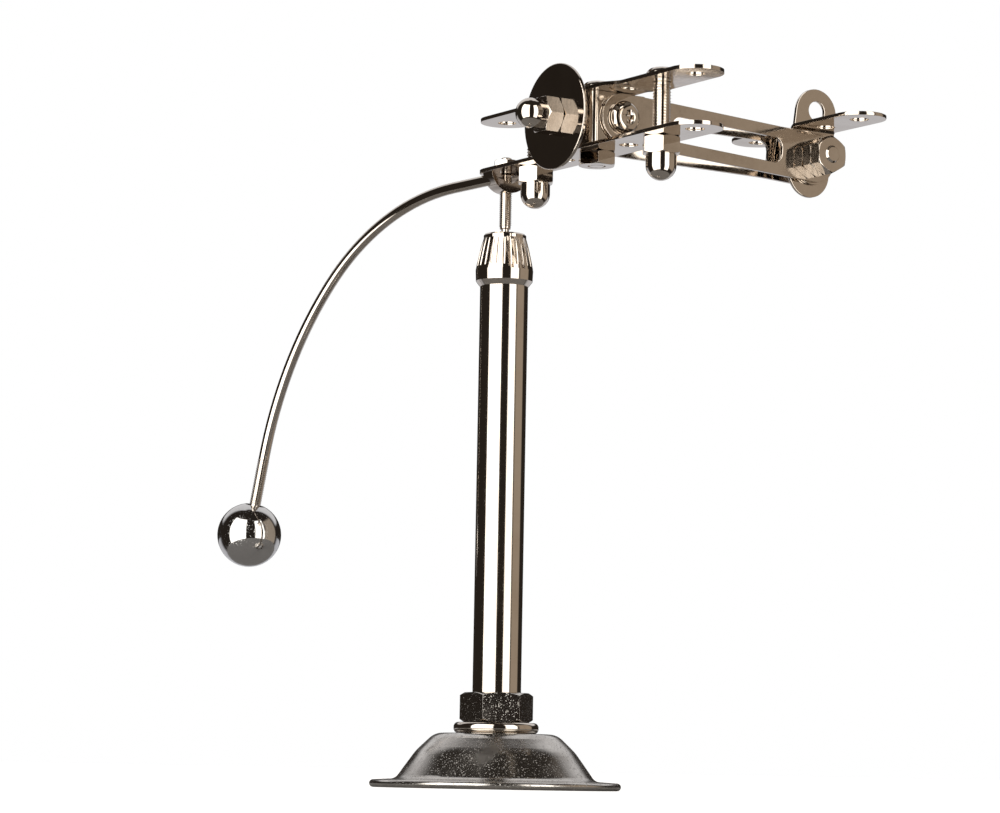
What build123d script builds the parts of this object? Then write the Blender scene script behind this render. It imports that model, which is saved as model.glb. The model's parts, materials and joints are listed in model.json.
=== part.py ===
"""Balancing biplane: a strip-metal aeroplane that swings on a pivot stand with a ball counterweight.

Millimetres, +Z up, origin on the column's axis at the foot. The aeroplane flies towards -X and its
left wing tip points to -Y. The wing hole at the right-hand end stands over the column, on the Z axis.
"""
import os
from math import cos, radians, sin, sqrt

from build123d import *

os.makedirs("parts", exist_ok=True)

# ---- strips, screws and nuts ----------------------------------------------------------------
pitch = 12.7  # hole spacing along a strip
strip_w = 12.7
strip_t = 0.9
screw_d = 4.1
hole_gap = 0.15  # radial, round a screw in a strip's hole
hole_d = screw_d + 2 * hole_gap
thread_gap = 0.02  # radial, between a screw and what it is screwed into
nut_flats = 8.0
nut_h = 3.2
head_d = 7.4
head_h = 2.3
acorn_hex_h = 4.0
acorn_dome_d = 7.0
acorn_h = 9.9
acorn_crown = 1.6  # solid metal over the end of the blind hole
tip_bevel = 0.4  # on the end of every screw

# ---- stand ----------------------------------------------------------------------------------
flange_d = 59.4
flange_t = 1.8
dome_wall = 1.6
dome_h = 13.0
dome_foot_d = 47.2
dome_waist_d = 37.6  # where the side turns from steep to shallow
dome_waist_h = 8.8
dome_top_d = 28.8
washer_d = 20.1
washer_t = 2.6
base_nut_flats = 15.2
base_nut_turn = 35.2  # degrees about Z
base_nut_h = 7.0
base_stud_d = 6.0
under_washer_t = 1.0
under_nut_flats = 10.0
under_nut_h = 4.0
stud_below_nut = 0.8
column_d = 11.5
column_wall = 1.0
column_h = 96.9
plug_h = 12.0
cap_h = 12.7
cap_wide_d = 13.8
cap_shoulder_d = 12.1
cap_top_d = 10.2
cap_lip_h = 1.1
cap_spigot_h = 8.0
cap_flutes = 26
cap_flute_d = 0.9
cap_flute_depth = 0.22
cap_flute_lean = 12.5  # degrees, top inwards
mouth_d = 7.2

# ---- pivot ----------------------------------------------------------------------------------
pivot_ball_d = 2.0
pivot_depth = 1.2  # of the pivot's centre below the cap's top
running_gap = 0.05  # radial, between pieces that turn in each other
stud_d = 2.9
stud_lift = 2.4  # of the thread's end above the pivot's centre
stud_neck_d = 1.8  # below the thread, down to the ball
cup_d = 5.0
cup_h = 4.0
cup_drop = 0.6  # of the cup's top below the pivot's centre
stud_nut_flats = 5.5
stud_nut_h = 2.4
stud_over_nut = 0.7
saddle_d = 10.8
saddle_wall = 2.3
saddle_w = 4.0
saddle_rise = 0.75  # of the saddle's centre above the wing's underside

# ---- wings ----------------------------------------------------------------------------------
wing_holes = 7
wing_gap = 12.5  # between the middles of the two wings, at the struts
wing_rise = 0.8  # of the upper wing's middle stretch, which the nose bracket and the plates push up
wing_rise_half = 11.0  # half of the raised stretch
wing_ramp = 7.0
wing_bend = 20.0
lower_wing_over_cap = 15.0  # from the cap's top to the middle of the lower wing
strut_hole = 2  # holes out from the middle
column_hole = 3  # the hole that stands over the column

# ---- counterweight --------------------------------------------------------------------------
rod_d = 2.7
rod_heading = 103.973  # degrees about Z, from +X
rod_offset = 3.4  # of the rod's root from the stud's axis, towards the nose
rod_drop = 1.45  # of the rod's axis below the wing's underside, at its root
rod_slope = 3.4  # degrees below level, at the root
rod_lead = 13.1
rod_shoulder_r = 62.1
rod_shoulder_turn = 43.7
rod_bow_r = 95.35
rod_bow_turn = 29.14
rod_tail = 19.1
ball_d = 16.129
ball_hole_depth = 6.5
ball_flat_d = 5.0

# ---- nose bracket, screws and disc ----------------------------------------------------------
bracket_nose = 6.0  # from the wings' middle line to the bracket's front face
bracket_tail = 8.8
bracket_bend = 1.6
side_screw_back = 2.5  # behind the wings' middle line
plate_gap = 0.05  # between the plates and the upper wing
side_head_d = 7.8
side_head_h = 2.1
side_nut_h = 3.0
side_nut_gap = 0.1  # between a side nut and the centre screw
nose_head_h = 2.2
spacer_t = 1.9
spacer_d = 8.0
disc_d = 24.6
disc_t = 1.0
disc_gap = 0.05  # on each side of the disc
disc_bore_gap = 0.08  # radial, over the nose screw

# ---- fuselage plates ------------------------------------------------------------------------
plate_w = 11.7
plate_span = 56.3  # between the end holes
droop = 3.0  # degrees, tail down
slot_start = 14.0
slot_end = 46.3
slot_h = 6.0
slot_corner = 2.4
joggle_start = 9.0
joggle_end = 45.0
joggle = 7.5  # how far the right-hand plate comes in towards the left-hand one
joggle_r = 14.0

# ---- tail -----------------------------------------------------------------------------------
tail_bolt_over = 0.5  # past the outer nut
fin_above = 17.2  # from the bolt to the fin's top end
fin_below = 9.4
fin_hole_in = 5.3  # from the fin's ends to the middle of a hole
fin_hole_d = 4.7
fin_w = 12.0
fin_lean = 8.0  # degrees, top towards the tail
tailplane_reach = 23.6  # from the bracket's upright face to the tip
tail_rise = 6.85  # from the bolt to the tailplane's underside
tail_bend = 1.0

# ---- heights and places that follow from the sizes above ----------------------------------------
washer_top = dome_h + washer_t
column_foot = washer_top + base_nut_h
column_top = column_foot + column_h
cap_top = column_top + cap_h
pivot_z = cap_top - pivot_depth
tube_bore_d = column_d - 2 * column_wall

lower_z = cap_top + lower_wing_over_cap
upper_z = lower_z + wing_gap
lower_under = lower_z - strip_t / 2
lower_over = lower_z + strip_t / 2
upper_over = upper_z + strip_t / 2
middle_under = upper_z + wing_rise - strip_t / 2
middle_over = middle_under + strip_t
middle_y = -column_hole * pitch  # the aeroplane's middle
wing_length = wing_holes * pitch

bracket_w = screw_d + 2 * (side_nut_gap + side_nut_h + strip_t)
plate_face = bracket_w / 2  # from the aeroplane's middle to the inner face of a side plate
side_z = middle_under - plate_gap - plate_w / 2
nose_z = (lower_over + middle_under) / 2
tail_x = side_screw_back + plate_span * cos(radians(droop))
tail_z = side_z - plate_span * sin(radians(droop))
right_tail = plate_face - joggle  # of the right-hand plate's inner face, at the tail, from the middle


# ---- planes ---------------------------------------------------------------------------------
def down_at(y, z):
    """A level plane facing down, for what is screwed on from above."""
    return Plane(origin=(0, y, z), x_dir=(1, 0, 0), z_dir=(0, 0, -1))


def left_at(x, left, z, lean=0):
    """An upright plane facing the left wing tip: its X runs aft and its Y up, turned by lean."""
    aft = (cos(radians(lean)), 0, -sin(radians(lean)))
    return Plane(origin=(x, middle_y - left, z), x_dir=aft, z_dir=(0, -1, 0))


def right_at(x, left, z):
    """An upright plane facing the right wing tip."""
    return Plane(origin=(x, middle_y - left, z), x_dir=(1, 0, 0), z_dir=(0, 1, 0))


def front_at(x, z):
    """An upright plane on the aeroplane's middle line, facing forwards."""
    return Plane(origin=(x, middle_y, z), x_dir=(0, 1, 0), z_dir=(-1, 0, 0))


def section(base):
    """The plane through a fastener's axis: its Y runs along the axis."""
    return Plane(origin=base.origin, x_dir=base.x_dir, z_dir=base.x_dir.cross(base.z_dir))


# ---- fasteners ------------------------------------------------------------------------------
def bevelled_hex(base, flats, height):
    """A hexagon prism standing on base, its corners bevelled by a cone at both ends."""
    corner = flats / sqrt(3)
    bevel = (corner - flats / 2) * 0.6
    with BuildPart() as prism:
        with BuildSketch(base):
            RegularPolygon(flats / 2, 6, major_radius=False)
        extrude(amount=height)
        with BuildSketch(section(base)):
            with BuildLine():
                Polyline(
                    (0, 0),
                    (flats / 2, 0),
                    (corner, bevel),
                    (corner, height - bevel),
                    (flats / 2, height),
                    (0, height),
                    close=True,
                )
            make_face()
        revolve(axis=Axis(base.origin, base.z_dir), mode=Mode.INTERSECT)
    return prism


def hex_nut(base, flats, height, bore_d):
    with BuildPart() as nut:
        add(bevelled_hex(base, flats, height).part)
        with BuildSketch(base):
            Circle(bore_d / 2)
        extrude(amount=height, mode=Mode.SUBTRACT)
    return nut


def acorn_nut(base):
    """A domed nut standing on base, with a blind hole."""
    dome_r = acorn_dome_d / 2
    with BuildPart() as nut:
        add(bevelled_hex(base, nut_flats, acorn_hex_h).part)
        with BuildSketch(section(base)):
            with BuildLine():
                Polyline((0, acorn_h), (0, 1), (dome_r, 1), (dome_r, acorn_h - dome_r))
                RadiusArc((dome_r, acorn_h - dome_r), (0, acorn_h), -dome_r)
            make_face()
        revolve(axis=Axis(base.origin, base.z_dir))
        with BuildSketch(base):
            Circle(screw_d / 2 + thread_gap)
        extrude(amount=acorn_h - acorn_crown, mode=Mode.SUBTRACT)
    return nut


def screw(base, length, top_d=head_d, top_h=head_h, cross=False):
    """A screw whose head seats on base and whose shank runs along base's normal."""
    shank_r = screw_d / 2
    top_r = top_d / 2
    crown_r = top_r * 0.4  # of the flat in the middle of the head
    with BuildPart() as fastener:
        with BuildSketch(section(base)):
            with BuildLine():
                Polyline(
                    (crown_r, -top_h),
                    (0, -top_h),
                    (0, length),
                    (shank_r - tip_bevel, length),
                    (shank_r, length - tip_bevel),
                    (shank_r, 0),
                    (top_r, 0),
                    (top_r, -top_h * 0.4),
                )
                ThreePointArc(
                    (top_r, -top_h * 0.4),
                    (top_r * 0.82, -top_h * 0.84),
                    (crown_r, -top_h),
                )
            make_face()
        revolve(axis=Axis(base.origin, base.z_dir))
        with BuildSketch(base.offset(-top_h)):
            if cross:
                Rectangle(top_d * 0.56, top_d * 0.13)
                Rectangle(top_d * 0.13, top_d * 0.56)
            else:
                Rectangle(top_d * 1.1, top_d * 0.14)
        extrude(amount=top_h * 0.5, mode=Mode.SUBTRACT)
    return fastener


def washer(base, outer_d, inner_d, height, soften):
    """A flat ring standing on base, its outer edges rounded."""
    with BuildPart() as flat_ring:
        with BuildSketch(base):
            Circle(outer_d / 2)
        extrude(amount=height)
        fillet(flat_ring.edges(), radius=soften)
        with BuildSketch(base):
            Circle(inner_d / 2)
        extrude(amount=height, mode=Mode.SUBTRACT)
    return flat_ring


# ---- the stand's foot: a hollow dome, bolted up through its middle ---------------------------------
stud_bore_d = base_stud_d + 2 * thread_gap
with BuildPart() as base_dome:
    with BuildSketch(Plane.XZ):
        with BuildLine():
            rim_r = flange_d / 2 - flange_t / 2
            hub_r = base_stud_d / 2 + 0.2
            FilletPolyline(
                (rim_r, flange_t),
                (dome_foot_d / 2, flange_t + 0.3),
                (dome_waist_d / 2, dome_waist_h),
                (dome_top_d / 2, dome_h),
                (hub_r, dome_h),
                radius=(2.2, 12.0, 4.6),
            )
            Line((hub_r, dome_h), (hub_r, dome_h - dome_wall))
            FilletPolyline(
                (hub_r, dome_h - dome_wall),
                (dome_top_d / 2 - dome_wall * 0.5, dome_h - dome_wall),
                (dome_waist_d / 2 - dome_wall * 0.74, dome_waist_h - dome_wall * 0.67),
                (dome_foot_d / 2 - dome_wall * 0.2, 0),
                radius=(3.0, 8.0),
            )
            Line((dome_foot_d / 2 - dome_wall * 0.2, 0), (rim_r, 0))
            ThreePointArc((rim_r, 0), (flange_d / 2, flange_t / 2), (rim_r, flange_t))
        make_face()
    revolve(axis=Axis.Z)

base_washer = washer(Plane.XY.offset(dome_h), washer_d, base_stud_d + 0.4, washer_t, 1.1)
nut_seat = Plane.XY.offset(washer_top).rotated((0, 0, base_nut_turn))
column_nut = hex_nut(nut_seat, base_nut_flats, base_nut_h, stud_bore_d)

under_washer_z = dome_h - dome_wall - under_washer_t
under_nut_z = under_washer_z - under_nut_h
under_washer = washer(Plane.XY.offset(under_washer_z), base_stud_d * 2, base_stud_d + 0.4, under_washer_t, 0.2)
under_nut = hex_nut(Plane.XY.offset(under_nut_z), under_nut_flats, under_nut_h, stud_bore_d)

with BuildPart() as base_stud:
    stud_foot = under_nut_z - stud_below_nut
    with BuildSketch(Plane.XY.offset(stud_foot)):
        Circle(base_stud_d / 2)
    extrude(amount=column_foot + plug_h * 0.8 - stud_foot)
    chamfer(base_stud.edges(), length=0.6)

with BuildPart() as column_plug:
    with BuildSketch(Plane.XY.offset(column_foot)):
        Circle(tube_bore_d / 2 - thread_gap)
        Circle(stud_bore_d / 2, mode=Mode.SUBTRACT)
    extrude(amount=plug_h)

with BuildPart() as column_tube:
    with BuildSketch(Plane.XY.offset(column_foot)):
        Circle(column_d / 2)
        Circle(tube_bore_d / 2, mode=Mode.SUBTRACT)
    extrude(amount=column_h)

# ---- the cap: a plain band below, a fluted shoulder above, and a mouth that holds the pivot cup -----
cup_top = pivot_z - cup_drop
cup_foot = cup_top - cup_h
cup_bore_r = cup_d / 2 + running_gap
with BuildPart() as column_cap:
    with BuildSketch(Plane.XZ):
        with BuildLine():
            spigot_r = tube_bore_d / 2 - thread_gap
            Polyline(
                (0, column_top - cap_spigot_h),
                (spigot_r, column_top - cap_spigot_h),
                (spigot_r, column_top),
                (column_d / 2 + 0.1, column_top),
                (cap_wide_d / 2 - 0.1, column_top + cap_h * 0.1),
                (cap_wide_d / 2, column_top + cap_h * 0.3),
            )
            ThreePointArc(
                (cap_wide_d / 2, column_top + cap_h * 0.3),
                (cap_shoulder_d / 2, column_top + cap_h * 0.64),
                (cap_top_d / 2, cap_top - cap_lip_h),
            )
            Polyline(
                (cap_top_d / 2, cap_top - cap_lip_h),
                (cap_top_d / 2, cap_top - 0.4),
                (cap_top_d / 2 - 0.4, cap_top),
                (mouth_d / 2, cap_top),
                (cup_bore_r, cup_top),
                (cup_bore_r, cup_foot - running_gap),
                (0, cup_foot - running_gap),
                (0, column_top - cap_spigot_h),
            )
        make_face()
    revolve(axis=Axis.Z)
    flute_x = cap_shoulder_d / 2 - cap_flute_depth + cap_flute_d / 2
    flute_z = column_top + cap_h * 0.64
    with PolarLocations(0, cap_flutes):
        with Locations(Location((flute_x, 0, flute_z), (0, -cap_flute_lean, 0))):
            Cylinder(cap_flute_d / 2, cap_h * 0.54, mode=Mode.SUBTRACT)

# ---- the pivot: a cup in the cap, a ball tip, and the stud that stands on it -----------------------
with BuildPart() as pivot_cup:
    with BuildSketch(Plane.XY.offset(cup_foot)):
        Circle(cup_d / 2)
    extrude(amount=cup_h)
    with Locations((0, 0, pivot_z)):
        Sphere(pivot_ball_d / 2 + running_gap, mode=Mode.SUBTRACT)

with BuildPart() as pivot_tip:
    with Locations((0, 0, pivot_z)):
        Sphere(pivot_ball_d / 2)

stud_r = stud_d / 2
stud_end = pivot_z + stud_lift
stud_top = lower_over + stud_nut_h + stud_over_nut
with BuildPart() as pivot_stud:
    with BuildSketch(Plane.XZ):
        with BuildLine():
            Polyline(
                (0, stud_top),
                (0, pivot_z),
                (stud_neck_d / 2, pivot_z),
                (stud_neck_d / 2, stud_end),
                (stud_r * 0.8, stud_end),
            )
            ThreePointArc(
                (stud_r * 0.8, stud_end),
                (stud_r * 0.95, stud_end + 0.2),
                (stud_r, stud_end + 0.6),
            )
            Polyline(
                (stud_r, stud_end + 0.6),
                (stud_r, stud_top - tip_bevel),
                (stud_r - tip_bevel, stud_top),
                (0, stud_top),
            )
        make_face()
    revolve(axis=Axis.Z)
    with Locations((0, 0, pivot_z)):
        Sphere(pivot_ball_d / 2 + running_gap, mode=Mode.SUBTRACT)

stud_nut = hex_nut(Plane.XY.offset(lower_over), stud_nut_flats, stud_nut_h, stud_d + 2 * thread_gap)

with BuildPart() as saddle:
    with BuildSketch(Plane.XZ):
        with Locations((0, lower_under + saddle_rise)):
            Circle(saddle_d / 2)
            Circle(saddle_d / 2 - saddle_wall, mode=Mode.SUBTRACT)
        with Locations((0, lower_under)):
            Rectangle(saddle_d, saddle_d, align=(Align.CENTER, Align.MIN), mode=Mode.SUBTRACT)
    extrude(amount=saddle_w / 2, both=True)
    with BuildSketch(Plane.XY.offset(lower_under)):
        Circle(stud_r + thread_gap)
    extrude(amount=-saddle_d, mode=Mode.SUBTRACT)

# ---- the counterweight: a curved rod, its root trimmed to the saddle, and a ball on its far end -----
out = Vector(cos(radians(rod_heading)), sin(radians(rod_heading)), 0)
rod_plane = Plane(
    origin=(-rod_offset, 0, lower_under - rod_drop),
    x_dir=out,
    z_dir=out.cross(Vector(0, 0, 1)),
)
with BuildPart() as counterweight_rod:
    with BuildLine(rod_plane) as rod_path:
        lead = PolarLine((0, 0), rod_lead, -rod_slope)
        shoulder = JernArc(lead @ 1, lead % 1, rod_shoulder_r, -rod_shoulder_turn)
        bow = JernArc(shoulder @ 1, shoulder % 1, rod_bow_r, -rod_bow_turn)
        Line(bow @ 1, bow @ 1 + (bow % 1) * rod_tail)
    rod_wire = rod_path.wires()[0]
    with BuildSketch(Plane(origin=rod_wire @ 0, z_dir=rod_wire % 0)):
        Circle(rod_d / 2)
    sweep(path=rod_wire)
    with Locations((0, 0, lower_under + saddle_rise)):
        Cylinder(saddle_d / 2, saddle_w, rotation=(90, 0, 0), mode=Mode.SUBTRACT)

rod_end = Plane(origin=rod_wire @ 1, z_dir=rod_wire % 1)
ball_middle = rod_end.offset(ball_d / 2 - ball_hole_depth)
with BuildPart() as counterweight_ball:
    with Locations(ball_middle.location):
        Sphere(ball_d / 2)
    flat_z = sqrt((ball_d / 2) ** 2 - (ball_flat_d / 2) ** 2)
    split(bisect_by=ball_middle.offset(-flat_z), keep=Keep.TOP)
    with BuildSketch(rod_end):
        Circle(rod_d / 2 + thread_gap)
    extrude(amount=-ball_d, mode=Mode.SUBTRACT)


# ---- wings and what holds them ----------------------------------------------------------------
with BuildPart() as lower_wing:
    with BuildSketch(Plane.XY.offset(lower_under)):
        with Locations((0, middle_y)):
            SlotOverall(wing_length, strip_w, rotation=90)
            with GridLocations(0, pitch, 1, wing_holes):
                Circle(hole_d / 2, mode=Mode.SUBTRACT)
    extrude(amount=strip_t)

# The upper wing's profile is drawn as a band along Y, then cut to the strip's outline.
with BuildPart() as upper_wing:
    with BuildSketch(Plane(origin=(0, middle_y, upper_z), x_dir=(0, 1, 0), z_dir=(1, 0, 0))):
        with BuildLine():
            FilletPolyline(
                (-wing_length, 0),
                (-wing_rise_half - wing_ramp, 0),
                (-wing_rise_half, wing_rise),
                (wing_rise_half, wing_rise),
                (wing_rise_half + wing_ramp, 0),
                (wing_length, 0),
                radius=wing_bend,
            )
            offset(amount=strip_t / 2, side=Side.BOTH)
        make_face()
    extrude(amount=strip_w, both=True)
    with BuildSketch(Plane.XY.offset(upper_z)):
        with Locations((0, middle_y)):
            SlotOverall(wing_length, strip_w, rotation=90)
            with GridLocations(0, pitch, 1, wing_holes):
                Circle(hole_d / 2, mode=Mode.SUBTRACT)
    extrude(amount=strip_w, both=True, mode=Mode.INTERSECT)

strut_grip = upper_over - lower_under
strut_ys = [middle_y - strut_hole * pitch, middle_y + strut_hole * pitch]
with BuildPart() as strut_screws:
    for strut_y in strut_ys:
        add(screw(down_at(strut_y, upper_over), strut_grip + acorn_h - acorn_crown - 0.5).part)
with BuildPart() as strut_acorn_nuts:
    for strut_y in strut_ys:
        add(acorn_nut(down_at(strut_y, lower_under)).part)

centre_screw = screw(down_at(middle_y, middle_over), middle_over - lower_under + nut_h)
centre_nut = hex_nut(down_at(middle_y, lower_under), nut_flats, nut_h, screw_d + 2 * thread_gap)

# ---- the nose bracket: a U in plan, standing between the wings ------------------------------------
with BuildPart() as nose_bracket:
    with BuildSketch(Plane(origin=(0, middle_y, lower_over))):
        with BuildLine():
            half_w = (bracket_w - strip_t) / 2
            web_x = -bracket_nose + strip_t / 2
            FilletPolyline(
                (bracket_tail, half_w),
                (web_x, half_w),
                (web_x, -half_w),
                (bracket_tail, -half_w),
                radius=bracket_bend,
            )
            offset(amount=strip_t / 2, side=Side.BOTH)
        make_face()
    extrude(amount=middle_under - lower_over)
    with BuildSketch(left_at(side_screw_back, 0, side_z)):
        Circle(hole_d / 2)
    extrude(amount=bracket_w, both=True, mode=Mode.SUBTRACT)
    with BuildSketch(front_at(-bracket_nose, nose_z)):
        Circle(hole_d / 2)
    extrude(amount=-strip_t, mode=Mode.SUBTRACT)

side_grip = 2 * strip_t + side_nut_h
head_face = plate_face + strip_t
nut_face = plate_face - strip_t
with BuildPart() as side_screws:
    left_seat = right_at(side_screw_back, head_face, side_z)
    right_seat = left_at(side_screw_back, -head_face, side_z)
    add(screw(left_seat, side_grip, side_head_d, side_head_h, cross=True).part)
    add(screw(right_seat, side_grip, side_head_d, side_head_h, cross=True).part)
with BuildPart() as side_nuts:
    for seat in (right_at(side_screw_back, nut_face, side_z), left_at(side_screw_back, -nut_face, side_z)):
        add(hex_nut(seat, nut_flats, side_nut_h, screw_d + 2 * thread_gap).part)

# ---- the nose stack: screw, nut, spacer, disc and acorn nut ---------------------------------------
nut_x = -bracket_nose
spacer_x = nut_x - nut_h
disc_x = spacer_x - spacer_t - disc_gap
acorn_x = disc_x - disc_t - disc_gap
web_inside = -bracket_nose + strip_t
nose_screw = screw(
    front_at(web_inside, nose_z),
    web_inside - acorn_x + acorn_h - acorn_crown - 0.5,
    top_h=nose_head_h,
)
nose_nut = hex_nut(front_at(nut_x, nose_z), nut_flats, nut_h, screw_d + 2 * thread_gap)
nose_spacer = washer(front_at(spacer_x, nose_z), spacer_d, hole_d, spacer_t, 0.2)
propeller_disc = washer(front_at(disc_x, nose_z), disc_d, screw_d + 2 * disc_bore_gap, disc_t, 0.3)
nose_acorn_nut = acorn_nut(front_at(acorn_x, nose_z))


# ---- fuselage plates ------------------------------------------------------------------------------
def plate_outline():
    """The side of a plate, from its front hole at the sketch's origin."""
    with Locations((plate_span / 2, 0)):
        SlotCenterToCenter(plate_span, plate_w)
    with Locations((0, 0), (plate_span, 0)):
        Circle(hole_d / 2, mode=Mode.SUBTRACT)
    with Locations(((slot_start + slot_end) / 2, 0)):
        RectangleRounded(slot_end - slot_start, slot_h, slot_corner, mode=Mode.SUBTRACT)


with BuildPart() as left_plate:
    with BuildSketch(left_at(side_screw_back, plate_face, side_z, droop)):
        plate_outline()
    extrude(amount=strip_t)

# The right-hand plate is bent in towards the tail: its plan is drawn as a band, then cut to outline.
side_middle = left_at(side_screw_back, 0, side_z, droop)
plan = Plane(origin=side_middle.origin, x_dir=side_middle.x_dir, z_dir=side_middle.y_dir)
with BuildPart() as right_plate:
    with BuildSketch(plan):
        with BuildLine():
            front_y = plate_face + strip_t / 2
            FilletPolyline(
                (-strip_w, front_y),
                (joggle_start, front_y),
                (joggle_end, front_y - joggle),
                (plate_span + strip_w, front_y - joggle),
                radius=joggle_r,
            )
            offset(amount=strip_t / 2, side=Side.BOTH)
        make_face()
    extrude(amount=strip_w, both=True)
    with BuildSketch(side_middle):
        plate_outline()
    extrude(amount=bracket_w, both=True, mode=Mode.INTERSECT)

# ---- the tail, across the bolt: plate, bracket, spacer, fin, bracket, plate and two nuts ------------
right_inside = -right_tail  # places here are distances towards the left wing tip, from the middle
right_bracket_in = right_inside + strip_t
left_bracket_in = plate_face - strip_t
fin_in = left_bracket_in - strip_t
tail_spacer_t = fin_in - right_bracket_in
nuts_in = plate_face + strip_t
bolt_seat = right_inside - strip_t

tail_bolt = screw(left_at(tail_x, bolt_seat, tail_z), nuts_in + 2 * nut_h + tail_bolt_over - bolt_seat)
tail_spacer = washer(left_at(tail_x, right_bracket_in, tail_z), spacer_d, hole_d, tail_spacer_t, 0.2)
with BuildPart() as tail_nuts:
    for nut_in in (nuts_in, nuts_in + nut_h + thread_gap):
        upright = left_at(tail_x, nut_in, tail_z, 90)
        add(hex_nut(upright, nut_flats, nut_h, screw_d + 2 * thread_gap).part)

with BuildPart() as tail_fin:
    with BuildSketch(left_at(tail_x, fin_in, tail_z, fin_lean)):
        with Locations((0, (fin_above - fin_below) / 2)):
            SlotOverall(fin_above + fin_below, fin_w, rotation=90)
        with Locations((0, fin_above - fin_hole_in)):
            Circle(fin_hole_d / 2, mode=Mode.SUBTRACT)
        slot_travel = fin_below - fin_hole_in
        with Locations((0, -slot_travel / 2)):
            SlotCenterToCenter(slot_travel, hole_d, rotation=90, mode=Mode.SUBTRACT)
    extrude(amount=strip_t)


def tailplane(upright_in, side):
    """Half a tailplane: an angle strip, its upright on the bolt and its level leg out to one side.

    upright_in is the upright's face away from that side, and side is 1 to the left, -1 to the right.
    """
    upright = left_at(tail_x, upright_in, tail_z)
    across = Plane(origin=upright.origin, x_dir=(0, 1, 0), z_dir=upright.x_dir)
    plan = Plane(origin=upright.origin, x_dir=upright.x_dir, z_dir=upright.y_dir)
    middle = -side * strip_t / 2
    tip = -side * (strip_t + tailplane_reach)
    with BuildPart() as angle:
        with BuildSketch(across):
            with BuildLine():
                FilletPolyline(
                    (middle, -strip_w),
                    (middle, tail_rise + strip_t / 2),
                    (tip, tail_rise + strip_t / 2),
                    radius=tail_bend,
                )
                offset(amount=strip_t / 2, side=Side.BOTH)
            make_face()
        extrude(amount=strip_w / 2, both=True)
        with BuildSketch(plan):
            SlotOverall(2 * abs(tip), strip_w, rotation=90)
        extrude(amount=2 * strip_w, both=True, mode=Mode.INTERSECT)
        with BuildSketch(upright):
            Circle(strip_w / 2)
            Rectangle(strip_w, 2 * strip_w, align=(Align.CENTER, Align.MIN))
            Circle(hole_d / 2, mode=Mode.SUBTRACT)
        extrude(amount=2 * tailplane_reach, both=True, mode=Mode.INTERSECT)
        with BuildSketch(plan.offset(tail_rise)):
            with Locations((0, tip + side * strip_w / 2), (0, tip + side * (strip_w / 2 + pitch))):
                Circle(hole_d / 2)
        extrude(amount=strip_t, mode=Mode.SUBTRACT)
    return angle


left_tailplane = tailplane(left_bracket_in, 1)
right_tailplane = tailplane(right_bracket_in, -1)

# ---- write every piece ---------------------------------------------------------------------------
pieces = {
    "base_dome": base_dome,
    "base_washer": base_washer,
    "column_nut": column_nut,
    "under_washer": under_washer,
    "under_nut": under_nut,
    "base_stud": base_stud,
    "column_plug": column_plug,
    "column_tube": column_tube,
    "column_cap": column_cap,
    "pivot_cup": pivot_cup,
    "pivot_tip": pivot_tip,
    "pivot_stud": pivot_stud,
    "stud_nut": stud_nut,
    "saddle": saddle,
    "counterweight_rod": counterweight_rod,
    "counterweight_ball": counterweight_ball,
    "upper_wing": upper_wing,
    "lower_wing": lower_wing,
    "strut_screws": strut_screws,
    "strut_acorn_nuts": strut_acorn_nuts,
    "centre_screw": centre_screw,
    "centre_nut": centre_nut,
    "nose_bracket": nose_bracket,
    "side_screws": side_screws,
    "side_nuts": side_nuts,
    "nose_screw": nose_screw,
    "nose_nut": nose_nut,
    "nose_spacer": nose_spacer,
    "propeller_disc": propeller_disc,
    "nose_acorn_nut": nose_acorn_nut,
    "left_plate": left_plate,
    "right_plate": right_plate,
    "tail_bolt": tail_bolt,
    "tail_spacer": tail_spacer,
    "tail_nuts": tail_nuts,
    "tail_fin": tail_fin,
    "left_tailplane": left_tailplane,
    "right_tailplane": right_tailplane,
}
for label, piece in pieces.items():
    piece.part.label = label
    export_step(piece.part, f"parts/{label}.step")
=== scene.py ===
import json
from math import cos, pi, radians, sin

import bpy
from mathutils import Matrix, Vector


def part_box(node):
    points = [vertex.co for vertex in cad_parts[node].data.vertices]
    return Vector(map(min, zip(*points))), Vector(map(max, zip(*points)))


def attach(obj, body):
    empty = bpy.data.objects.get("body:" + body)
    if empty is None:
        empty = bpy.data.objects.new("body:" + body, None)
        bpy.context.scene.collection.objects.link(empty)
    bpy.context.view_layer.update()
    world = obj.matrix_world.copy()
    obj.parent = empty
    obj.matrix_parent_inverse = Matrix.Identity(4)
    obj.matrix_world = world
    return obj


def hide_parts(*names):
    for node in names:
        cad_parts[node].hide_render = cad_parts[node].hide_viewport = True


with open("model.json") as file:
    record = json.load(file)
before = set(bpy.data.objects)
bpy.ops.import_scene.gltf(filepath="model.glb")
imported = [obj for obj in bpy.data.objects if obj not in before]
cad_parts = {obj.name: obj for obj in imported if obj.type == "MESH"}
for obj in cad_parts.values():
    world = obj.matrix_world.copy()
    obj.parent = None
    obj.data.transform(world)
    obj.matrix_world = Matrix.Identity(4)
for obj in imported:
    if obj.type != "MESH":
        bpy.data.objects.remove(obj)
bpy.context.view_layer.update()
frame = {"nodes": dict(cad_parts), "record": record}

MM = 0.001
SAME_POINT = 0.000002  # corners closer than this are one corner
CREASE = radians(32)  # edges sharper than this stay sharp in the shading

record = frame["record"]
slot_of = {part["node"]: part["material_slot"] for part in record["subparts"]}
body_of = {member: body for body, members in record["behaviour"]["bodies"].items() for member in members}


# ---- selecting by hand -------------------------------------------------------------------------
def put_down():
    """Leaves edit mode and selects nothing."""
    if bpy.context.object and bpy.context.object.mode != "OBJECT":
        bpy.ops.object.mode_set(mode="OBJECT")
    bpy.ops.object.select_all(action="DESELECT")


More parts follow.
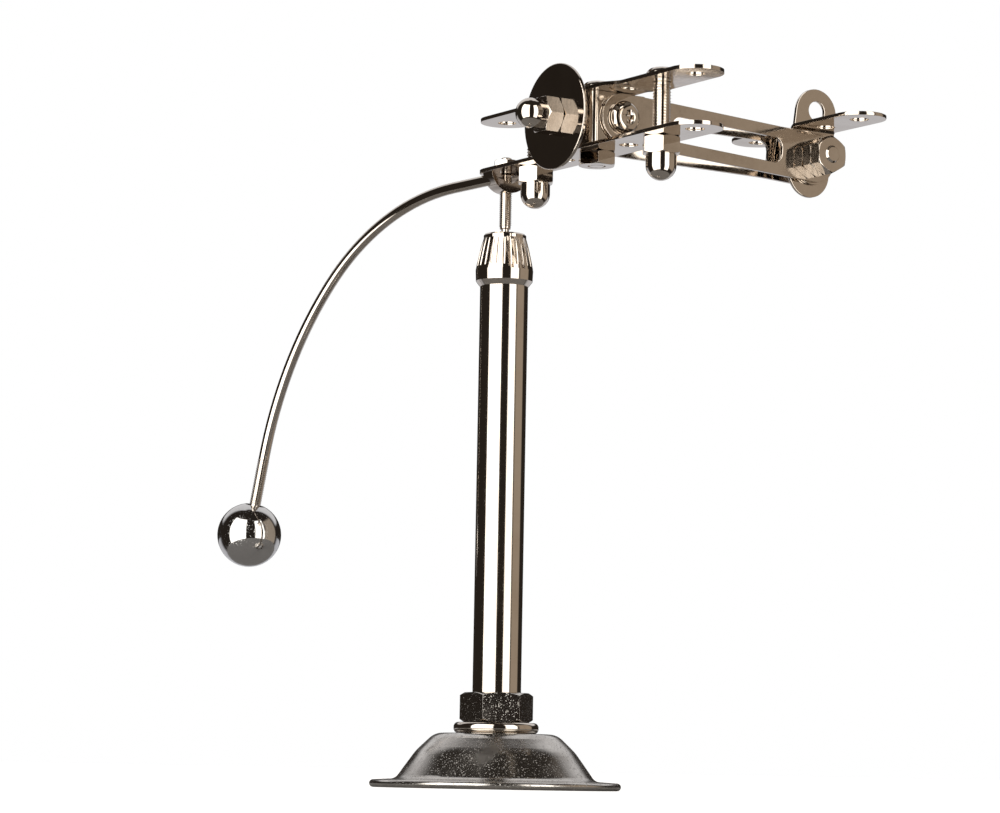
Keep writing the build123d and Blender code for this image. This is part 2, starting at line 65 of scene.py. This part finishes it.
def pick_up(piece):
    """Selects just this piece and makes it the active one."""
    put_down()
    piece.select_set(True)
    bpy.context.view_layer.objects.active = piece


def finish_piece(piece, name, body, slot, *nodes):
    """Settles a finished piece's place in its mesh, names it and hangs it on its body."""
    pick_up(piece)
    bpy.ops.object.transform_apply(location=True, rotation=True, scale=True)
    piece.name = name
    piece.data.name = name
    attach(piece, body)
    if nodes:
        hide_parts(*nodes)
    put_down()
    return piece


def apply_modifiers(piece):
    pick_up(piece)
    for modifier in list(piece.modifiers):
        bpy.ops.object.modifier_apply(modifier=modifier.name)


# ---- shader maths ------------------------------------------------------------------------------
class Wire:
    """A node socket that takes part in sums."""

    def __init__(self, finish, socket):
        self.finish = finish
        self.socket = socket

    def maths(self, operation, a, b=0.0, c=0.0):
        return self.finish.node("ShaderNodeMath", {"operation": operation}, {0: a, 1: b, 2: c})

    def __add__(self, other):
        return self.maths("ADD", self, other)

    __radd__ = __add__

    def __sub__(self, other):
        return self.maths("SUBTRACT", self, other)

    def __rsub__(self, other):
        return self.maths("SUBTRACT", other, self)

    def __mul__(self, other):
        return self.maths("MULTIPLY", self, other)

    __rmul__ = __mul__

    def ramp(self, low, high):
        """0 below low, 1 above high, smooth between."""
        return self.finish.node(
            "ShaderNodeMapRange",
            {"interpolation_type": "SMOOTHSTEP"},
            {"Value": self, "From Min": low, "From Max": high},
        )


class Finish:
    """A node tree with one way to add nodes."""

    def __init__(self, tree):
        self.tree = tree
        tree.nodes.clear()

    def node(self, kind, settings=None, values=None, output=0):
        made = self.tree.nodes.new(kind)
        for key, value in (settings or {}).items():
            setattr(made, key, value)
        for key, value in (values or {}).items():
            if isinstance(value, Wire):
                self.tree.links.new(value.socket, made.inputs[key])
            else:
                made.inputs[key].default_value = value
        return Wire(self, made.outputs[output]) if made.outputs else None

    def mix(self, factor, a, b):
        """Colour a where factor is 0, colour b where it is 1."""
        made = self.tree.nodes.new("ShaderNodeMix")
        made.data_type = "RGBA"
        for key, value in ((0, factor), (6, a), (7, b)):
            if isinstance(value, Wire):
                self.tree.links.new(value.socket, made.inputs[key])
            else:
                made.inputs[key].default_value = value if key == 0 else (*value, 1)
        return Wire(self, made.outputs[2])


def material(name):
    made = bpy.data.materials.new(name)
    made.use_nodes = True
    return made, Finish(made.node_tree)


def noise(finish, place, scale, detail=3.0, rough=0.5):
    return finish.node(
        "ShaderNodeTexNoise",
        {},
        {"Vector": place, "Scale": scale, "Detail": detail, "Roughness": rough},
    )


def plating(name, colour, stain, rough, scratches=0.0, speckle=0.0, ripple=0.0):
    """Nickel plating: a warm mirror with faint stains, hairline scratches, pits and an uneven surface."""
    made, finish = material(name)
    place = finish.node("ShaderNodeTexCoord", output=3)
    cloud = noise(finish, place, 110, 4).ramp(0.42, 0.72)
    fine = noise(finish, place, 900, 3).ramp(0.4, 0.7)
    stretched = finish.node("ShaderNodeMapping", {}, {"Vector": place, "Scale": (300, 300, 9000)})
    hair = noise(finish, stretched, 1, 2).ramp(0.55, 0.75)
    pits = noise(finish, place, 2600, 2).ramp(0.62, 0.72)
    shade = finish.mix(cloud * 0.55 + fine * 0.15, colour, stain)
    shade = finish.mix(pits * speckle, shade, tuple(0.45 * c for c in stain))
    gloss = rough + cloud * rough * 0.8 + hair * scratches + pits * speckle * 0.25
    wave = noise(finish, place, 210, 2)
    surface = wave * ripple + fine * ripple * 0.12 - pits * speckle * 1.6 + hair * scratches * 0.3
    bump = finish.node("ShaderNodeBump", {}, {"Height": surface, "Strength": 0.35, "Distance": 0.00012})
    shader = finish.node(
        "ShaderNodeBsdfPrincipled",
        {},
        {"Base Color": shade, "Metallic": 1.0, "Roughness": gloss, "Normal": bump},
    )
    finish.node("ShaderNodeOutputMaterial", {}, {"Surface": shader})
    return made


NICKEL = (0.69, 0.63, 0.565)
STRIP_NICKEL = (0.66, 0.595, 0.525)
GREY_NICKEL = (0.6, 0.575, 0.54)
mirror_plate = plating("polished_nickel", NICKEL, (0.56, 0.49, 0.42), 0.045, scratches=0.02, ripple=0.1)
tube_plate = plating("drawn_nickel", NICKEL, (0.6, 0.53, 0.46), 0.06, scratches=0.06, ripple=0.05)
strip_plate = plating("strip_nickel", STRIP_NICKEL, (0.52, 0.45, 0.38), 0.075, scratches=0.03, ripple=0.3)
disc_plate = plating("disc_nickel", (0.6, 0.535, 0.47), (0.47, 0.41, 0.35), 0.05, scratches=0.03, ripple=0.12)
dome_plate = plating("cast_nickel", GREY_NICKEL, (0.4, 0.375, 0.35), 0.16, speckle=0.75, ripple=0.55)
worn_plate = plating("worn_nickel", GREY_NICKEL, (0.42, 0.39, 0.36), 0.1, scratches=0.05, speckle=0.45, ripple=0.3)
ball_plate = plating("ball_steel", (0.66, 0.65, 0.64), (0.56, 0.55, 0.54), 0.03, speckle=0.2, ripple=0.05)
dull_steel = plating("plain_steel", (0.5, 0.48, 0.46), (0.3, 0.28, 0.26), 0.32, scratches=0.1, speckle=0.3, ripple=0.3)


def coat_with(piece, finish):
    piece.data.materials.clear()
    piece.data.materials.append(finish)


# ---- copies of CAD pieces ------------------------------------------------------------------------
def joined_copy(node):
    """A copy of a CAD piece whose loose triangles are joined along their edges."""
    copy = frame["nodes"][node].copy()
    copy.data = copy.data.copy()
    bpy.context.scene.collection.objects.link(copy)
    pick_up(copy)
    bpy.ops.object.mode_set(mode="EDIT")
    bpy.ops.mesh.select_all(action="SELECT")
    bpy.ops.mesh.remove_doubles(threshold=SAME_POINT)
    bpy.ops.mesh.customdata_custom_splitnormals_clear()
    bpy.ops.object.mode_set(mode="OBJECT")
    return copy


def soften(node, finish, width):
    """Replaces a CAD piece by a copy with its sharp edges rolled over, as tumbling and plating leave them."""
    copy = joined_copy(node)
    bpy.ops.object.mode_set(mode="EDIT")
    bpy.ops.mesh.select_all(action="SELECT")
    bpy.ops.mesh.dissolve_limited(angle_limit=radians(0.5))
    bpy.ops.object.mode_set(mode="OBJECT")
    bevel = copy.modifiers.new("rolled edge", "BEVEL")
    bevel.width = width * MM
    bevel.segments = 2
    bevel.limit_method = "ANGLE"
    bevel.angle_limit = radians(38)
    bevel.use_clamp_overlap = True
    apply_modifiers(copy)
    bpy.ops.object.shade_smooth_by_angle(angle=CREASE)
    flatten = copy.modifiers.new("flat faces", "WEIGHTED_NORMAL")
    flatten.keep_sharp = True
    flatten.weight = 90
    apply_modifiers(copy)
    coat_with(copy, finish)
    return finish_piece(copy, node + "_plated", body_of[node], slot_of[node], node)


softened = {
    "upper_wing": (strip_plate, 0.16),
    "lower_wing": (strip_plate, 0.16),
    "left_plate": (strip_plate, 0.16),
    "right_plate": (strip_plate, 0.16),
    "left_tailplane": (strip_plate, 0.16),
    "right_tailplane": (strip_plate, 0.16),
    "tail_fin": (strip_plate, 0.16),
    "nose_bracket": (strip_plate, 0.14),
    "centre_nut": (mirror_plate, 0.12),
    "nose_nut": (mirror_plate, 0.12),
    "side_nuts": (mirror_plate, 0.1),
    "tail_nuts": (mirror_plate, 0.14),
    "stud_nut": (mirror_plate, 0.1),
    "strut_acorn_nuts": (mirror_plate, 0.14),
    "nose_acorn_nut": (mirror_plate, 0.14),
    "side_screws": (mirror_plate, 0.12),
    "column_nut": (worn_plate, 0.45),
    "saddle": (mirror_plate, 0.15),
}
for node, (finish, width) in softened.items():
    soften(node, finish, width)

# ---- finishes of the pieces that stay as they are ------------------------------------------------
kept = {
    "base_dome": dome_plate,
    "base_washer": mirror_plate,
    "column_tube": tube_plate,
    "column_cap": mirror_plate,
    "pivot_cup": dull_steel,
    "pivot_tip": ball_plate,
    "counterweight_rod": mirror_plate,
    "counterweight_ball": ball_plate,
    "centre_screw": mirror_plate,
    "nose_screw": mirror_plate,
    "nose_spacer": mirror_plate,
    "propeller_disc": disc_plate,
    "tail_bolt": mirror_plate,
    "tail_spacer": mirror_plate,
    "under_washer": dull_steel,
    "under_nut": dull_steel,
    "base_stud": dull_steel,
    "column_plug": dull_steel,
}
for node, finish in kept.items():
    piece = frame["nodes"][node]
    if not piece.material_slots:
        piece.data.materials.append(finish)
    for place in piece.material_slots:
        place.material = finish


# ---- threads ---------------------------------------------------------------------------------------
def slim(node, axes, shank, root):
    """A copy of a CAD screw whose shank is turned down from one diameter to the root of its thread."""
    copy = joined_copy(node)
    for x, y in axes:
        for corner in copy.data.vertices:
            across = Vector((corner.co.x - x, corner.co.y - y))
            if (root / 2 + 0.1) * MM < across.length < (shank / 2 + 0.02) * MM:
                corner.co.x = x + across.x * root / shank
                corner.co.y = y + across.y * root / shank
    bpy.ops.object.shade_smooth_by_angle(angle=CREASE)
    coat_with(copy, mirror_plate)
    return finish_piece(copy, node + "_turned", body_of[node], slot_of[node], node)


def thread(name, node, start, length, shank, proud, pitch, turn=None):
    """A screw thread's ridge, wound up the shank of a CAD screw from start.

    Diameter, height, pitch and length are in mm. Its axis is +Z before turn.
    """
    put_down()
    bpy.ops.mesh.primitive_plane_add(size=MM)
    ridge = bpy.context.object
    bpy.ops.object.mode_set(mode="EDIT")
    bpy.ops.mesh.select_all(action="SELECT")
    bpy.ops.mesh.merge(type="CENTER")
    sunk = 0.05  # of the ridge's foot in the shank
    bpy.ops.transform.translate(value=((shank / 2 - sunk) * MM, 0, 0))
    flank = pitch * 0.32
    crest = proud + sunk
    for out, along in ((crest, flank), (0, pitch * 0.2), (-crest, flank)):
        bpy.ops.mesh.extrude_region_move(TRANSFORM_OT_translate={"value": (out * MM, 0, along * MM)})
    bpy.ops.mesh.select_all(action="SELECT")
    bpy.ops.mesh.edge_face_add()
    bpy.ops.mesh.delete(type="ONLY_FACE")
    bpy.ops.object.mode_set(mode="OBJECT")
    wind = ridge.modifiers.new("winding", "SCREW")
    wind.axis = "Z"
    wind.angle = 2 * pi
    wind.screw_offset = pitch * MM
    wind.iterations = max(1, int(length / pitch) - 1)
    wind.steps = wind.render_steps = 24
    apply_modifiers(ridge)
    bpy.ops.object.mode_set(mode="EDIT")
    bpy.ops.mesh.select_all(action="SELECT")
    bpy.ops.mesh.remove_doubles(threshold=0.000001)
    bpy.ops.mesh.fill_holes(sides=4)
    bpy.ops.mesh.select_all(action="SELECT")
    bpy.ops.mesh.normals_make_consistent(inside=False)
    bpy.ops.object.mode_set(mode="OBJECT")
    bpy.ops.object.shade_smooth_by_angle(angle=radians(30))
    if turn:
        ridge.rotation_euler = turn
    ridge.location = start
    coat_with(ridge, mirror_plate)
    return finish_piece(ridge, name, body_of[node], slot_of[node])


STRUT_SHANK, STRUT_ROOT = 4.1, 3.6  # diameters, as cut and at the foot of the thread
STUD_SHANK, STUD_ROOT = 2.9, 2.56
ROD_D = 2.7
HEAD_R = 0.0037
STUD_THREAD_FOOT = 0.1338  # height of the lowest turn

screw_low, screw_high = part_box("strut_screws")
wing_low, wing_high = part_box("lower_wing")
strut_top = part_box("upper_wing")[0][2]
strut_length = (strut_top - wing_high[2]) / MM
strut_x = (screw_low[0] + screw_high[0]) / 2
near_strut = strut_x, screw_low[1] + HEAD_R
far_strut = strut_x, screw_high[1] - HEAD_R
for name, (x, y) in (("near_strut_thread", near_strut), ("far_strut_thread", far_strut)):
    thread(name, "strut_screws", (x, y, wing_high[2]), strut_length, STRUT_ROOT, 0.27, 0.7)
slim("strut_screws", (near_strut, far_strut), STRUT_SHANK, STRUT_ROOT)

stud_length = (wing_low[2] - STUD_THREAD_FOOT) / MM
thread("pivot_stud_thread", "pivot_stud", (0, 0, STUD_THREAD_FOOT), stud_length, STUD_ROOT, 0.19, 0.5)
slim("pivot_stud", ((0, 0),), STUD_SHANK, STUD_ROOT)

# the rod's straight end, where the ball screws on
ball_low, ball_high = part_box("counterweight_ball")
ball_r = (ball_high[0] - ball_low[0]) / 2
ball_middle = Vector(ball_low[i] + ball_r for i in range(3))
lean, heading = radians(13.76), radians(103.973 - 180)
up_rod = Vector((sin(lean) * cos(heading), sin(lean) * sin(heading), cos(lean)))
rod_start = ball_middle + up_rod * (ball_r - 0.0004)
thread("rod_thread", "counterweight_rod", rod_start, 12.6, ROD_D, 0.11, 0.55, (0, lean, heading))


# ---- camera ---------------------------------------------------------------------------------------
# degrees to the right of +Y, up from level, and about the line of sight
facing, climb, roll = radians(33.171), radians(5.977), radians(1.053)
standpoint = Matrix.Translation((-0.4504, -0.6882, 0.0046))
level = Vector((sin(facing), cos(facing), 0))
side = Vector((level.y, -level.x, 0))
ahead = level * cos(climb) + Vector((0, 0, sin(climb)))
lens = bpy.data.cameras.new("camera")
lens.lens = 124.78
lens.sensor_width = 36
lens.clip_start = 0.01
camera = bpy.data.objects.new("camera", lens)
bpy.context.scene.collection.objects.link(camera)
turned = Matrix((side, side.cross(ahead), -ahead)).transposed().to_4x4()
camera.matrix_world = standpoint @ turned @ Matrix.Rotation(roll, 4, "Z")
bpy.context.scene.camera = camera

# ---- floor and surroundings -----------------------------------------------------------------------
put_down()
bpy.ops.mesh.primitive_circle_add(vertices=96, radius=6, fill_type="NGON", location=(0, 0, 0))
floor = bpy.context.object
floor.name = "floor"
floor_paint, finish = material("pale_floor")
seen = finish.node("ShaderNodeLightPath")
pale = finish.node("ShaderNodeBsdfPrincipled", {}, {"Base Color": (0.62, 0.6, 0.58, 1), "Roughness": 0.9})
lit = finish.node("ShaderNodeEmission", {}, {"Color": (1, 1, 1, 1), "Strength": 0.7})
bright = finish.node("ShaderNodeAddShader", {}, {0: pale, 1: lit})
# mirrors see a small dim table, painted shade for the shadow under the aircraft, and past its edge the room
painted_table_shade = finish.node("ShaderNodeBsdfPrincipled", {}, {"Base Color": (0.27, 0.265, 0.26, 1), "Roughness": 0.9})
clear = finish.node("ShaderNodeBsdfTransparent")
spot = finish.node("ShaderNodeTexCoord", output=3)
reach = finish.node("ShaderNodeVectorMath", {"operation": "LENGTH"}, {0: spot}, output=1)
# painted shade: a darker copy of the floor within 0.2 m of the middle, seen only in reflections
table_shade_mix = finish.node("ShaderNodeMixShader", {}, {0: reach.ramp(0.17, 0.2), 1: painted_table_shade, 2: clear})
either = finish.node("ShaderNodeMixShader", {}, {0: seen, 1: table_shade_mix, 2: bright})
finish.node("ShaderNodeOutputMaterial", {}, {"Surface": either})
coat_with(floor, floor_paint)

world = bpy.data.worlds.new("studio")
bpy.context.scene.world = world
world.use_nodes = True
room = Finish(world.node_tree)
parts = room.tree.nodes.new("ShaderNodeSeparateXYZ")
look_vector = room.node("ShaderNodeTexCoord", output=0)
room.tree.links.new(look_vector.socket, parts.inputs[0])
east, north, up = (Wire(room, parts.outputs[i]) for i in range(3))
# directions are measured from the one that points at the camera, to its right and upwards
towards = east * -level.x + north * -level.y
rightwards = east * side.x + north * side.y
bearing = room.node("ShaderNodeMath", {"operation": "ARCTAN2"}, {0: rightwards, 1: towards}) * (180 / pi)
height = room.node("ShaderNodeMath", {"operation": "ARCSINE"}, {0: up}) * (180 / pi)


def panel(left, right, low, high, edge=3.0):
    """1 inside a soft-edged panel of the room, given in degrees."""
    across = bearing.ramp(left - edge, left + edge) * (1 - bearing.ramp(right - edge, right + edge))
    return across * height.ramp(low - edge, low + edge) * (1 - height.ramp(high - edge, high + edge))


big_box = panel(-71, -9, -38, 52)
small_box = panel(27, 60, -38, 47)
tan_wall = panel(66, 113, -24, 42, 4.0)
behind = 1 - bearing.ramp(-135, -115) * (1 - bearing.ramp(115, 135))
high_sheet = behind * height.ramp(17, 24) * (1 - height.ramp(74, 82))
low_sheet = behind * height.ramp(-40, -30) * (1 - height.ramp(-4, -1))
shade = room.mix(tan_wall, (0.026, 0.021, 0.017), (0.4, 0.33, 0.26))
shade = room.mix(low_sheet, shade, (0.6, 0.6, 0.63))
shade = room.mix(high_sheet, shade, (0.8, 0.79, 0.8))
shade = room.mix(big_box, shade, (3.2, 3.1, 2.95))
shade = room.mix(small_box, shade, (2.6, 2.5, 2.35))
path = room.node("ShaderNodeLightPath")
shade = room.mix(path, shade, (1.0, 1.0, 1.0))
back = room.node("ShaderNodeBackground", {}, {"Color": shade, "Strength": 1.0})
room.node("ShaderNodeOutputWorld", {}, {"Surface": back})
bpy.context.scene.view_settings.view_transform = "Standard"
